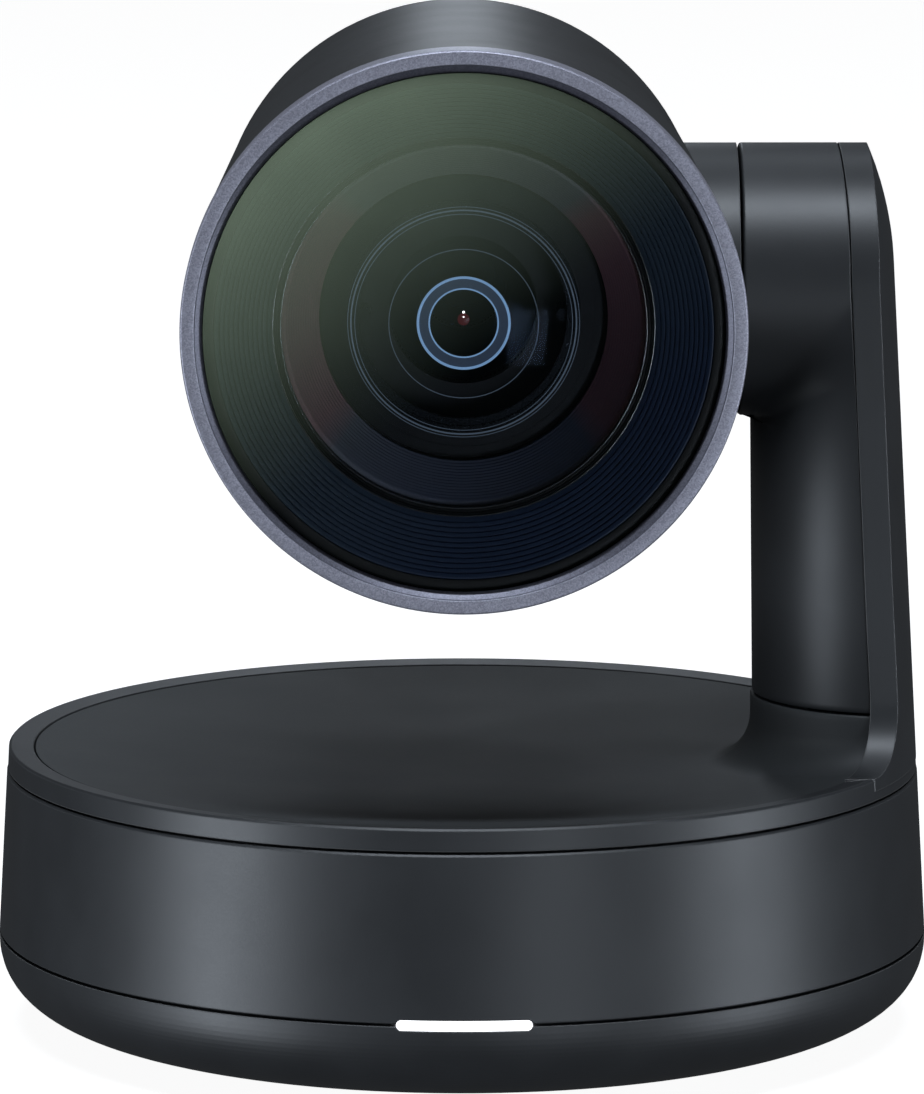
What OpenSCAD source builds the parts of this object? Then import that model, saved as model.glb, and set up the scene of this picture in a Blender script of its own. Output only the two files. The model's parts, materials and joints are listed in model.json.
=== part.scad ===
// Pan-tilt-zoom camera: a round base, a turning deck with one arm, and a barrel head.
// Millimetres, +Z up, lens towards -Y, arm on the +X side.
// The origin is on the pan axis, at the underside of the foot ring.

/* [Base] */
// Greatest diameter of the base
base_d = 152.2; // [151.8:0.1:152.4]
// Height of the light seam, where the bowl meets the wall
seam_z = 16; // [15.8:0.1:16.2]
// Height of the fixed wall's top edge
wall_top = 42.7; // [42.5:0.1:42.8]
// Thickness of the moulded walls
wall_t = 2.4; // [2.2:0.1:2.5]
// Length of the light bar
light_len = 21; // [16:1:26]

/* [Turning deck and arm] */
// Height of the rim's top edge
rim_top = 46.7; // [46.5:0.1:46.8]
// Thickness of the outer shell, from its skin to the seam
shell_t = 4.2; // [4:0.1:4.3]
// Half width of the arm at its foot
arm_half = 23.2; // [23:0.1:23.4]
// Radius of the arm's round top and of the head's boss
drum_r = 22.1; // [22:0.1:22.2]
// Height of the seam between the foot and the arm cover
foot_top = 54.8; // [54:0.2:56]

/* [Head] */
// Height of the tilt axis
tilt_z = 122.6; // [122.5:0.1:123]
// Distance from the tilt axis to the bezel's front face
bezel_front = 67; // [66:0.5:67]
// Outer radius of the bezel ring
bezel_r = 43.65; // [43.4:0.05:43.7]
// Outer radius of the barrel at its rear edge
barrel_rear_r = 41; // [40.8:0.1:41.2]

/* [Drives] */
// Teeth on the pan gear
pan_teeth = 48; // [48:12:48]
// Teeth on the tilt gear
tilt_teeth = 44; // [44:4:44]
// Teeth on each motor's pinion
pinion_teeth = 12; // [12:1:12]

/* [Hidden] */
$fn = 128;

far = 200;
seam_gap = 0.2;
run_fit = 0.05;
taper = 0.054;
wall_r = base_d / 2 - 0.17;
function wall(z) = wall_r - taper * (z - seam_z);

// Bowl under the seam: a superellipse in section, flat inside bowl_flat
bowl_r = base_d / 2 - 0.1;
bowl_flat = 55;
bowl_z = 1.8;
bowl_top = seam_z - seam_gap;
bowl_steps = 30;
foot_r = [43, 50];
boss_r = 9;
insert_r = 4.2;
thread_r = 2.55;
insert_len = 9;
post_at = [[50.7, -18.5], [-50.7, -18.5], [50.7, 18.5], [-50.7, 18.5]];
board_at = [[20, -34.6], [-20, -34.6], [20, 34.6], [-20, 34.6]];
floor_z = bowl_z + wall_t;
board_z = 9;
board_t = 1.6;
lip_r = wall(seam_z) - wall_t - 0.25;

// Chassis and pan drive
chassis_z = [30, 33];
hub_r = 14;
hub_bore = 11;
nut_r = 16.8;
bush_r = 20;
flange_z = [34.8, 35.8];
table_z = [35.9, 38.4];
table_r = 66.5;
gear_z = [21, 26];
pan_mod = 1;
tilt_mod = 0.8;
backlash = 0.12;
pan_motor_x = -(pan_teeth + pinion_teeth) / 2 * pan_mod - run_fit;
motor_shaft_r = 1.5;

// Port panel at the back of the base
io_half = 43;
io_z = [17.8, 35.6];
io_y = 58.5;
io_frame = 1.8;
io_board_z = 18.4;
socket_z = io_board_z + board_t;
lock_angle = 150;
lock_z = 23;

// Deck: a shallow dish that the tilting head clears
rim_inset = 0.05;
rim_skin = 0.15;
deck_r = wall(rim_top) - rim_inset - shell_t - seam_gap;
deck_edge = 46.1;
deck_low = 41.2;
deck_t = 2;
dish_r = (deck_r * deck_r + pow(deck_edge - deck_low, 2)) / (2 * (deck_edge - deck_low));
dish_flat = 12;
dish_flat_h = dish_flat * dish_flat / 2 / dish_r;
gap_top = wall_top + 0.45;

// Arm: an inner cover on a rounded foot, inside an outer shell
arm_in = 47.2;
arm_x = arm_in + arm_half;
drum_face = 44.8;
boss_face = 44.35;
foot_fillet = 7;
flare_z = deck_low + 1.4;
cover_gap = 0.25;
rim_fillet = 11.5;
dome_z = 126;
dome_r = 54.6;
dome_steps = 16;
slope = sqrt(1 + taper * taper);
dome_c = [wall(dome_z) - dome_r / slope, dome_z - dome_r * taper / slope];
motor_drop = (tilt_teeth + pinion_teeth) / 2 * tilt_mod + run_fit;
frame_x = [54, 56];
frame_half = 12;
frame_foot = 64;
pinion_x = 49.6;
pinion_well = 6;
bearing_x = [53.9, 60];
axle_r = 7;

// Barrel: a cone from the bezel to the rear cap
barrel_y = [-60, 49];
barrel_front_r = 43.55;
function barrel(y) =
    barrel_front_r - (y - barrel_y[0]) / (barrel_y[1] - barrel_y[0]) * (barrel_front_r - barrel_rear_r);
cap_depth = 9;
cap_fillet = 8;
bezel_len = 6.7;
glass_r = 40.1;
baffle_steps = 7;
rib_count = 14;
rod_x = 15.5;
rod_r = 1;
drive_z = 27.5;
lens_bore = 20.5;
lens_tube = 24;
zoom_y = [-38, -30];
focus_y = [-8, -2];

// ---------------------------------------------------------------- helpers

module at_tilt() {
    translate([0, 0, tilt_z]) children();
}

// Turns a shape drawn along +Z so that it runs from the lens towards +Y
module along_y() {
    rotate([-90, 0, 0]) children();
}

module along_x() {
    rotate([0, 90, 0]) children();
}

module tube(r_out, r_in, z0, z1) {
    translate([0, 0, z0]) difference() {
        cylinder(r = r_out, h = z1 - z0);
        translate([0, 0, -1]) cylinder(r = r_in, h = z1 - z0 + 2);
    }
}

module box(lo, hi) {
    translate(lo) cube(hi - lo);
}

module slot_2d(length, width) {
    square([length - width, width], center = true);
    for (side = [-1, 1]) translate([side * (length - width) / 2, 0]) circle(d = width);
}

// Spur gear with stub teeth and straight flanks, one tooth centred on +X
module gear_2d(teeth, mod) {
    pitch = teeth * mod / 2;
    root = pitch - 1.15 * mod;
    tip = pitch + 0.75 * mod;
    half = 90 / teeth - backlash / 2 / pitch * 180 / PI;
    root_half = half + (pitch - root) * tan(22) / root * 180 / PI;
    tip_half = half - (tip - pitch) * tan(27) / tip * 180 / PI;
    polygon([
        for (i = [0:teeth - 1])
            let (a = i * 360 / teeth)
            for (p = [[root, -root_half], [pitch, -half], [tip, -tip_half],
                      [tip, tip_half], [pitch, half], [root, root_half]])
                [p[0] * cos(a + p[1]), p[0] * sin(a + p[1])]
    ]);
}

module screw(head_r, head_h, shank_r, length) {
    cylinder(r = head_r, h = head_h);
    cylinder(r = shank_r, h = length);
}

// ---------------------------------------------------------------- base

function bowl_point(t, inset) = [
    bowl_flat + (bowl_r - bowl_flat - inset) * pow(cos(t), 2 / 2.5),
    bowl_top - (bowl_top - bowl_z - inset) * pow(sin(t), 2 / 2.37)
];

module bowl_section() {
    polygon(concat(
        [[0, bowl_z]],
        [for (i = [0:bowl_steps]) bowl_point(90 * (1 - i / bowl_steps), 0)],
        [for (i = [0:bowl_steps]) bowl_point(90 * i / bowl_steps, wall_t)],
        [[0, floor_z]]
    ));
}

module light_slot(grow) {
    translate([0, -far / 2, seam_z]) along_y()
        linear_extrude(far / 2 - 60) slot_2d(light_len + 2 * grow, 1.5 + 2 * grow);
}

module base_bowl() {
    color([0.13, 0.14, 0.15]) difference() {
        union() {
            rotate_extrude() bowl_section();
            translate([0, 0, bowl_z]) cylinder(r = boss_r, h = insert_len + 1.4);
            for (p = board_at) translate([p.x, p.y, bowl_z]) cylinder(r = 3, h = board_z - bowl_z);
            for (p = post_at) translate([p.x, p.y, bowl_z]) cylinder(r = 5.5, h = 4.4);
        }
        tube(foot_r[1] + 0.1, foot_r[0] - 0.1, -1, bowl_z + 1.1);
        cylinder(r = insert_r, h = bowl_z + insert_len);
        for (p = post_at) translate([p.x, p.y, 0]) {
            cylinder(r = 1.6, h = far);
            cylinder(r = 3.1, h = bowl_z + 2.2);
        }
        light_slot(0.1);
    }
}

module wall_section() {
    edge = 0.35;
    polygon([
        [wall(seam_z) - wall_t, seam_z + seam_gap],
        [wall(seam_z) - 0.2, seam_z + seam_gap],
        [wall(seam_z), seam_z + seam_gap + 0.2],
        [wall(wall_top), wall_top - edge],
        [wall(wall_top) - edge, wall_top],
        [wall(wall_top) - wall_t, wall_top]
    ]);
    translate([wall(chassis_z[0]) - wall_t - 3, chassis_z[0] - 2.6]) square([4, 2.6]);
    polygon([
        [lip_r - 1.3, seam_z - 2.5], [lip_r, seam_z - 2.5], [lip_r, seam_z + seam_gap],
        [lip_r + 0.9, seam_z + seam_gap], [lip_r + 0.9, seam_z + 1.6], [lip_r - 1.3, seam_z + 1.6]
    ]);
}

module base_body() {
    color([0.15, 0.16, 0.17]) difference() {
        rotate_extrude() wall_section();
        box([-io_half - 0.15, 50, io_z[0] - 0.15], [io_half + 0.15, 90, io_z[1] + 0.15]);
        light_slot(0.1);
        rotate([0, 0, lock_angle]) translate([60, 0, lock_z]) rotate([90, 0, 90])
            linear_extrude(40) slot_2d(7.4, 3.2);
    }
}

module foot_ring() {
    color([0.06, 0.06, 0.06]) rotate_extrude() polygon([
        [foot_r[0], 0.4], [foot_r[0] + 0.4, 0], [foot_r[1] - 0.4, 0],
        [foot_r[1], 0.4], [foot_r[1], bowl_z + 1.1], [foot_r[0], bowl_z + 1.1]
    ]);
}

module tripod_insert() {
    color([0.72, 0.58, 0.3]) tube(insert_r, thread_r, bowl_z, bowl_z + insert_len);
}

module light_bar() {
    color([0.95, 0.96, 1]) intersection() {
        light_slot(0);
        rotate_extrude() translate([wall_r - 3.4, seam_z - 3]) square([3.4, 6]);
    }
}

module light_board() {
    color([0.1, 0.3, 0.16]) box([-12, -70, seam_z - 1.5], [12, -68.8, seam_z + 7]);
    color([0.9, 0.9, 0.85]) for (x = [-9:4.5:9]) box([x - 1, -70.7, seam_z - 0.8], [x + 1, -70, seam_z + 0.8]);
}

module socket_cut(x, z, w, h) {
    box([x - w / 2, 50, z - h / 2], [x + w / 2, 90, z + h / 2]);
}

module port_panel() {
    color([0.1, 0.1, 0.11]) difference() {
        intersection() {
            box([-io_half, io_y, io_z[0]], [io_half, 90, io_z[1]]);
            rotate_extrude() polygon([
                [0, seam_z], [wall(seam_z) - 0.05, seam_z], [wall(wall_top) - 0.05, wall_top], [0, wall_top]
            ]);
        }
        box([-io_half + io_frame, io_y + 2, io_z[0] + io_frame], [io_half - io_frame, 90, io_z[1] - io_frame]);
        socket_cut(-26, socket_z + 6.75, 16.2, 13.7);
        socket_cut(-5, socket_z + 3.05, 15.2, 6.3);
        socket_cut(12, socket_z + 3.2, 9.4, 3.8);
        translate([29, 50, socket_z + 5.5]) along_y() cylinder(r = 4.6, h = 40);
    }
}

module io_board() {
    color([0.1, 0.3, 0.16]) box([-38, 34.5, io_board_z], [38, 58, socket_z]);
}

module power_jack() {
    color([0.05, 0.05, 0.05]) translate([29, 46, socket_z + 5.5]) along_y() difference() {
        union() {
            cylinder(r = 4.5, h = 14.3);
            box([-4.5, -4.5, 0], [4.5, 5.5, 12]);
        }
        translate([0, 0, 3]) cylinder(r = 3.2, h = 20);
    }
    color([0.8, 0.8, 0.78]) translate([29, 48, socket_z + 5.5]) along_y() cylinder(r = 1, h = 11);
}

module usb_port() {
    color([0.7, 0.7, 0.72]) difference() {
        union() {
            box([8.4, 51, socket_z], [15.6, io_y - 0.1, socket_z + 3]);
            translate([12, 51, socket_z + 3.2]) along_y() linear_extrude(9.4) slot_2d(9, 3.4);
        }
        translate([12, 52.5, socket_z + 3.2]) along_y() linear_extrude(9) slot_2d(8.4, 2.8);
    }
    color([0.08, 0.08, 0.08]) box([8.9, 52, socket_z + 2.9], [15.1, 59.4, socket_z + 3.5]);
}

module hdmi_port() {
    color([0.7, 0.7, 0.72]) difference() {
        box([-12.5, 48, socket_z], [2.5, 60.4, socket_z + 6.1]);
        box([-11.95, 50, socket_z + 0.7], [1.95, 61, socket_z + 5.3]);
    }
    color([0.08, 0.08, 0.08]) box([-10.5, 50, socket_z + 0.7], [0.5, 52, socket_z + 2]);
}

module network_port() {
    color([0.72, 0.72, 0.74]) difference() {
        box([-34, 40, socket_z], [-18, 60.4, socket_z + 13.5]);
        box([-31.9, 46, socket_z + 2.6], [-20.1, 61, socket_z + 10.6]);
        box([-29, 46, socket_z + 1.2], [-23, 61, socket_z + 3]);
    }
}

module main_board() {
    color([0.1, 0.3, 0.16]) difference() {
        tube(47, boss_r + 1, board_z, board_z + board_t);
        translate([pan_motor_x, 0, 0]) cylinder(r = 13.6, h = far);
        for (p = board_at) translate([p.x, p.y, 0]) cylinder(r = 1.3, h = far);
    }
    color([0.08, 0.08, 0.09]) {
        box([14, -14, board_z + board_t], [28, 0, board_z + board_t + 1.4]);
        box([-6, 20, board_z + board_t], [6, 30, board_z + board_t + 1.2]);
        box([-8, -36, board_z + board_t], [6, -26, board_z + board_t + 1.2]);
    }
}

module base_chassis() {
    color([0.62, 0.63, 0.65]) difference() {
        union() {
            translate([0, 0, chassis_z[0]]) cylinder(r = wall(chassis_z[1]) - wall_t - 0.2, h = 3);
            translate([0, 0, gear_z[1] + 1.2]) cylinder(r = 24, h = flange_z[0] - gear_z[1] - 1.2);
            for (p = post_at) translate([p.x, p.y, bowl_z + 4.5]) cylinder(r = 4, h = 25);
            for (y = [-17, 17]) translate([pan_motor_x, y, 20]) cylinder(r = 3.2, h = 11);
        }
        translate([0, 0, 20]) cylinder(r = bush_r, h = 20);
        box([-46, 33.5, 20], [46, 90, 40]);
        for (p = post_at) translate([p.x, p.y, 0]) cylinder(r = 1.25, h = 20);
        for (a = [60:30:120]) rotate([0, 0, a + 180]) translate([48, 0, 20]) cylinder(r = 8, h = 20);
    }
}

module base_screws() {
    color([0.5, 0.5, 0.52]) for (p = post_at) translate([p.x, p.y, bowl_z + 0.2]) screw(2.9, 2, 1.25, 14);
}

module pan_bearing() {
    color([0.85, 0.84, 0.8]) rotate_extrude() polygon([
        [hub_r + run_fit, gear_z[1] + 1.2], [bush_r, gear_z[1] + 1.2], [bush_r, flange_z[0]],
        [bush_r + 6, flange_z[0]], [bush_r + 6, flange_z[1]], [hub_r + run_fit, flange_z[1]]
    ]);
}

module pan_motor() {
    color([0.55, 0.56, 0.58]) translate([pan_motor_x, 0, 0]) difference() {
        union() {
            translate([0, 0, 6.5]) cylinder(r = 12.5, h = 12.5);
            translate([0, 0, 18.8]) linear_extrude(1.2) {
                slot_2d(2 * 13, 2 * 12.6);
                square([8, 34], center = true);
                for (y = [-17, 17]) translate([0, y]) circle(r = 4);
            }
            translate([0, 0, 20]) cylinder(r = 4, h = 0.8);
        }
        translate([0, 0, 10.5]) cylinder(r = motor_shaft_r + run_fit, h = 20);
    }
}

module pan_pinion() {
    color([0.8, 0.68, 0.4]) translate([pan_motor_x, 0, 0]) {
        translate([0, 0, gear_z[0]]) rotate([0, 0, 180 / pinion_teeth])
            linear_extrude(gear_z[1] - gear_z[0]) gear_2d(pinion_teeth, pan_mod);
        translate([0, 0, 11]) cylinder(r = motor_shaft_r, h = 15.8);
    }
}

// ---------------------------------------------------------------- turning deck and arm

// Everything inside the outer surface, moved in by inset: a cone under a round dome
module skin_section(inset, z0) {
    foot = wall(z0) - inset * slope;
    top = dome_z + 22;
    start = atan(taper);
    end = asin((top - dome_c.y) / (dome_r - inset));
    polygon(concat(
        [[0, z0], [foot, z0]],
        [for (i = [0:dome_steps])
            let (a = start + (end - start) * i / dome_steps)
            dome_c + (dome_r - inset) * [cos(a), sin(a)]],
        [[0, top]]
    ));
}

// The arm seen from the side, drawn in Y and Z
module arm_side(inset) {
    half = arm_half - inset;
    translate([0, tilt_z]) circle(r = drum_r - inset);
    polygon([
        [-half, rim_top - 2], [half, rim_top - 2], [half, 72],
        [drum_r - inset, tilt_z], [-drum_r + inset, tilt_z], [-half, 72]
    ]);
}

module rim_fillets() {
    for (side = [-1, 1]) difference() {
        translate([side * (arm_half + rim_fillet / 2 - 0.5), rim_top + rim_fillet / 2 - 1])
            square([rim_fillet + 1, rim_fillet + 2], center = true);
        translate([side * (arm_half + rim_fillet), rim_top + rim_fillet]) circle(r = rim_fillet);
        translate([side * (arm_half + rim_fillet + 10), 0]) square([20, 200], center = true);
    }
}

module arm_prism(x0) {
    translate([x0, 0, 0]) rotate([90, 0, 90]) linear_extrude(90 - x0) children();
}

module rim_section() {
    outer = wall(rim_top) - rim_skin * slope;
    inner = wall(rim_top) - rim_inset * slope - shell_t;
    edge = 0.35;
    polygon([
        [inner, gap_top - 3], [inner + 1.6, gap_top - 3], [inner + 1.6, gap_top],
        [wall(gap_top) - rim_skin * slope, gap_top], [wall(rim_top - edge) - rim_skin * slope, rim_top - edge],
        [outer - edge, rim_top], [inner + 0.2, rim_top - 0.45], [inner, rim_top - 0.65]
    ]);
}

module yoke_shell() {
    color([0.16, 0.17, 0.18]) {
        rotate_extrude() rim_section();
        difference() {
            intersection() {
                rotate_extrude() difference() {
                    skin_section(rim_inset, gap_top + 1);
                    skin_section(rim_inset + shell_t, gap_top);
                }
                arm_prism(30) {
                    arm_side(0);
                    rim_fillets();
                }
            }
            intersection() {
                rotate_extrude() skin_section(wall_t, foot_top);
                arm_prism(30) arm_side(wall_t);
            }
        }
    }
}

// The arm is a round column, cut off outside by the shell
module arm_plan(inset) {
    r = arm_half - inset;
    translate([arm_x, 0]) circle(r = r);
    translate([arm_x, -r]) square([20, 2 * r]);
}

module fillet_2d(r) {
    difference() {
        square([r, r]);
        translate([r, r]) circle(r = r);
    }
}

// Concave skirt that blends the foot into the deck
module foot_flare() {
    translate([arm_x, 0, flare_z]) {
        for (a = [90, 180]) rotate([0, 0, a]) rotate_extrude(angle = 90)
            translate([arm_half, 0]) fillet_2d(foot_fillet);
        for (side = [-1, 1]) translate([0, side * arm_half, 0]) rotate([90, 0, 90]) linear_extrude(20)
            mirror([side < 0 ? 1 : 0, 0]) fillet_2d(foot_fillet);
    }
}

module deck_cover() {
    color([0.2, 0.21, 0.22]) difference() {
        intersection() {
            union() {
                difference() {
                    translate([0, 0, deck_low - deck_t]) cylinder(r = deck_r, h = deck_edge - deck_low + deck_t);
                    translate([0, 0, deck_low + dish_r]) sphere(r = dish_r, $fn = 720);
                }
                translate([0, 0, deck_low - deck_t]) cylinder(r = dish_flat, h = deck_t + dish_flat_h);
                translate([0, 0, deck_low]) linear_extrude(foot_top - deck_low - cover_gap) arm_plan(0);
                foot_flare();
                for (a = [45:90:315]) rotate([0, 0, a]) translate([44, 0, table_z[1]])
                    cylinder(r = 3.5, h = 4);
            }
            rotate_extrude() skin_section(rim_inset + shell_t + seam_gap, table_z[1]);
        }
        tube(deck_r - wall_t, 48.5, table_z[1] - 1, deck_low + 0.9);
        translate([0, 0, table_z[1] - 1]) linear_extrude(foot_top) arm_plan(wall_t);
        for (a = [45:90:315]) rotate([0, 0, a]) translate([44, 0, 0]) cylinder(r = 1.25, h = 41.4);
    }
}

module arm_cover() {
    color([0.17, 0.18, 0.19]) difference() {
        intersection() {
            union() {
                translate([drum_face, 0, tilt_z]) along_x() cylinder(r = drum_r, h = 30);
                intersection() {
                    translate([0, 0, foot_top + 0.2]) linear_extrude(tilt_z - foot_top - 0.2) arm_plan(0);
                    arm_prism(40) arm_side(0);
                }
            }
            rotate_extrude() skin_section(rim_inset + shell_t + cover_gap, foot_top - 2);
        }
        intersection() {
            union() {
                translate([drum_face + wall_t, 0, tilt_z]) along_x() cylinder(r = drum_r - wall_t, h = 30);
                translate([0, 0, foot_top - 1]) linear_extrude(tilt_z - foot_top + 1) arm_plan(wall_t);
            }
            arm_prism(40) arm_side(wall_t);
        }
        translate([40, 0, tilt_z]) along_x() cylinder(r = axle_r + 0.6, h = 12);
        translate([pinion_x - 0.4, 0, tilt_z - motor_drop]) along_x() cylinder(r = pinion_well, h = 6);
    }
}

module turntable() {
    color([0.6, 0.61, 0.63]) difference() {
        union() {
            translate([0, 0, table_z[0]]) cylinder(r = table_r, h = table_z[1] - table_z[0]);
            translate([0, 0, 18.6]) cylinder(r = hub_r, h = 18);
        }
        cylinder(r = hub_bore, h = far);
        for (a = [45:90:315]) rotate([0, 0, a]) translate([44, 0, 0]) cylinder(r = 1.6, h = far);
        for (a = [90:45:270]) rotate([0, 0, a]) translate([52, 0, 0]) cylinder(r = 6, h = far);
    }
}

module pan_gear() {
    color([0.9, 0.89, 0.84]) translate([0, 0, gear_z[0]]) difference() {
        linear_extrude(gear_z[1] - gear_z[0]) gear_2d(pan_teeth, pan_mod);
        translate([0, 0, -1]) cylinder(r = hub_r, h = 10);
    }
}

module hub_nut() {
    color([0.5, 0.5, 0.52]) difference() {
        tube(nut_r, hub_r, 18.8, gear_z[0]);
        for (a = [0:60:300]) rotate([0, 0, a]) translate([nut_r, 0, 19.9]) cube([3, 3, 4], center = true);
    }
}

module deck_screws() {
    color([0.5, 0.5, 0.52]) for (a = [45:90:315]) rotate([0, 0, a]) translate([44, 0, table_z[0]])
        difference() {
            screw(1.6, 1, 1.25, 5.4);
            translate([0, 0, -1]) cylinder(r = 0.9, h = 1.6, $fn = 6);
        }
}

module arm_frame() {
    color([0.62, 0.63, 0.65]) difference() {
        union() {
            box([frame_x[0], -frame_half, table_z[1]], [frame_x[1], frame_half, tilt_z]);
            box([frame_x[0], -frame_half, table_z[1]], [frame_foot, frame_half, table_z[1] + 2]);
            translate([frame_x[0], 0, tilt_z]) along_x() cylinder(r = 16, h = frame_x[1] - frame_x[0]);
            translate([frame_x[0], 0, tilt_z]) along_x() cylinder(r = 12.3, h = 6);
        }
        translate([50, 0, tilt_z]) along_x() cylinder(r = 11, h = 20);
        translate([50, 0, tilt_z - motor_drop]) along_x() cylinder(r = 4.2, h = 10);
        box([50, -8, 46], [60, 8, 84]);
    }
}

module tilt_bearing() {
    color([0.72, 0.58, 0.3]) at_tilt() along_x() tube(11, axle_r + run_fit, bearing_x[0], bearing_x[1]);
}

module tilt_motor() {
    color([0.55, 0.56, 0.58]) translate([0, 0, tilt_z - motor_drop]) along_x() difference() {
        union() {
            translate([0, 0, frame_x[1]]) cylinder(r = 10, h = 9.4);
            translate([0, 0, frame_x[0]]) cylinder(r = 4.1, h = 3);
        }
        translate([0, 0, 50]) cylinder(r = motor_shaft_r + run_fit, h = 14.5);
    }
}

module arm_board() {
    color([0.1, 0.3, 0.16]) box([50.8, -6, 58], [52, 6, 88]);
    color([0.08, 0.08, 0.09]) box([52, -5, 66], [53.2, 5, 76]);
}

module arm_ribbon() {
    thick = 0.4;
    color([0.75, 0.45, 0.15]) translate([0, 5, 0]) rotate([90, 0, 0]) linear_extrude(10) polygon([
        [9, 30], [9, table_z[1] + 0.05 + thick], [51.2 - thick, table_z[1] + 0.05 + thick],
        [51.2 - thick, 58], [51.2, 58], [51.2, table_z[1] + 0.05], [9 + thick, table_z[1] + 0.05],
        [9 + thick, 30]
    ]);
}

module tilt_pinion() {
    color([0.8, 0.68, 0.4]) translate([0, 0, tilt_z - motor_drop]) along_x() {
        translate([0, 0, pinion_x]) rotate([0, 0, 180 + 180 / pinion_teeth])
            linear_extrude(3.2) gear_2d(pinion_teeth, tilt_mod);
        translate([0, 0, pinion_x - 0.2]) cylinder(r = motor_shaft_r, h = 14.6);
    }
}

// ---------------------------------------------------------------- head

module barrel_section(inset) {
    polygon([
        [0, barrel_y[0]], [barrel(barrel_y[0]) - inset, barrel_y[0]],
        [barrel(barrel_y[1]) - inset, barrel_y[1]], [0, barrel_y[1]]
    ]);
}

module head_shell() {
    color([0.17, 0.18, 0.19]) at_tilt() difference() {
        union() {
            along_y() rotate_extrude() barrel_section(0);
            along_x() cylinder(r = drum_r, h = boss_face);
        }
        translate([0, -1, 0]) along_y() rotate_extrude() barrel_section(wall_t);
        translate([0, 1, 0]) along_y() rotate_extrude() barrel_section(wall_t);
        along_x() cylinder(r = drum_r - wall_t, h = boss_face - wall_t);
        along_x() cylinder(r = axle_r, h = 60);
    }
}

module cap_section(inset) {
    r = barrel_rear_r - inset;
    f = cap_fillet - inset;
    top = barrel_y[1] + cap_depth - inset;
    translate([0, barrel_y[1]]) square([r, top - barrel_y[1] - f]);
    translate([0, barrel_y[1]]) square([r - f, top - barrel_y[1]]);
    translate([r - f, top - f]) circle(r = f);
}

module cap_screw_places() {
    for (a = [45:90:315]) rotate([0, 0, a]) translate([30, 0, barrel_y[1] + cap_depth]) children();
}

module rear_cap() {
    color([0.15, 0.16, 0.17]) at_tilt() along_y() difference() {
        union() {
            difference() {
                rotate_extrude() intersection() {
                    cap_section(0);
                    translate([0, barrel_y[1] + 0.15]) square([60, 60]);
                }
                rotate_extrude() cap_section(wall_t);
            }
            tube(barrel_rear_r - wall_t - 0.1, barrel_rear_r - 2 * wall_t, barrel_y[1] - 5, barrel_y[1] + 3);
            for (a = [45:90:315]) rotate([0, 0, a]) translate([30, 0, barrel_y[1]])
                cylinder(r = 3.2, h = cap_depth - 1);
        }
        for (z = [-15:5:15]) translate([0, z, barrel_y[1]])
            linear_extrude(30) slot_2d(2 * sqrt(23 * 23 - z * z), 1.8);
        cap_screw_places() {
            translate([0, 0, -1.6]) cylinder(r = 2.4, h = 5);
            translate([0, 0, -20]) cylinder(r = 1.25, h = 25);
        }
    }
}

module cap_screws() {
    color([0.3, 0.3, 0.32]) at_tilt() along_y() cap_screw_places() difference() {
        translate([0, 0, -0.2]) mirror([0, 0, 1]) screw(2.3, 1.4, 1.25, 8);
        translate([0, 0, -1]) cylinder(r = 1, h = 2, $fn = 6);
    }
}

// Ring sections are drawn as [radius, depth behind the bezel's front face]
module lens_ring(points) {
    at_tilt() translate([0, -bezel_front, 0]) along_y() rotate_extrude() polygon(points);
}

module bezel_ring() {
    tail_r = barrel_front_r - wall_t - 0.25;
    color([0.5, 0.5, 0.58]) lens_ring([
        [bezel_r - 0.25, 0], [bezel_r, 0.25], [bezel_r, bezel_len - 0.15], [bezel_r - 0.15, bezel_len],
        [tail_r, bezel_len], [tail_r, 11], [glass_r + 0.1, 11], [glass_r + 0.1, 1.15],
        [41.45, 0.15], [41.6, 0]
    ]);
}

module front_glass() {
    color([0.05, 0.08, 0.1, 0.4]) lens_ring([[0, 0.7], [glass_r, 0.7], [glass_r, 1.9], [0, 1.9]]);
}

module baffle_ring() {
    step_r = (38.2 - 29.5) / baffle_steps;
    step_d = (8 - 2.2) / baffle_steps;
    color([0.05, 0.06, 0.07]) lens_ring(concat(
        [[glass_r, 10.5], [glass_r, 1.95], [38.4, 1.95]],
        [for (i = [0:baffle_steps - 1]) for (p = [[0, 0], [0.35, 0.95]])
            [38.2 - (i + p[0]) * step_r, 2.2 + (i + p[1]) * step_d]],
        [[29.5, 8], [29.5, 10.5]]
    ));
}

module trim_ring() {
    color([0.75, 0.76, 0.78]) lens_ring([
        [28.2, 8.3], [28.5, 8], [29.1, 8], [29.4, 8.3], [29.4, 10.5], [28.2, 10.5]
    ]);
}

module ribbed_hood() {
    rib_r = (27.6 - 22.3) / rib_count;
    rib_d = (19.5 - 10.6) / rib_count;
    color([0.06, 0.06, 0.07]) lens_ring(concat(
        [[29.4, 21], [29.4, 10.6], [27.8, 10.6]],
        [for (i = [0:rib_count - 1]) for (p = [[0, 0], [0.9, 0.55]])
            [27.6 - (i + p[0]) * rib_r, 10.6 + (i + p[1]) * rib_d]],
        [[22.3, 19.5], [22.3, 21]]
    ));
}

// A lens from its radius, front face depth, middle thickness and two surface radii
module lens(r, depth, thick, front_r, back_r) {
    at_tilt() translate([0, depth, 0]) along_y() rotate_extrude() intersection() {
        translate([0, front_r]) circle(r = front_r, $fn = 256);
        translate([0, thick - back_r]) circle(r = back_r, $fn = 256);
        square([r, thick]);
    }
}

module front_element() {
    color([0.1, 0.12, 0.2, 0.5]) lens(22.2, -52, 6, 56, 400);
}

module lens_retainer() {
    color([0.7, 0.71, 0.74]) at_tilt() along_y() {
        tube(18.2, 17.4, -45.9, -44.2);
        tube(18.2, 16.2, -45.4, -44.2);
    }
}

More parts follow.
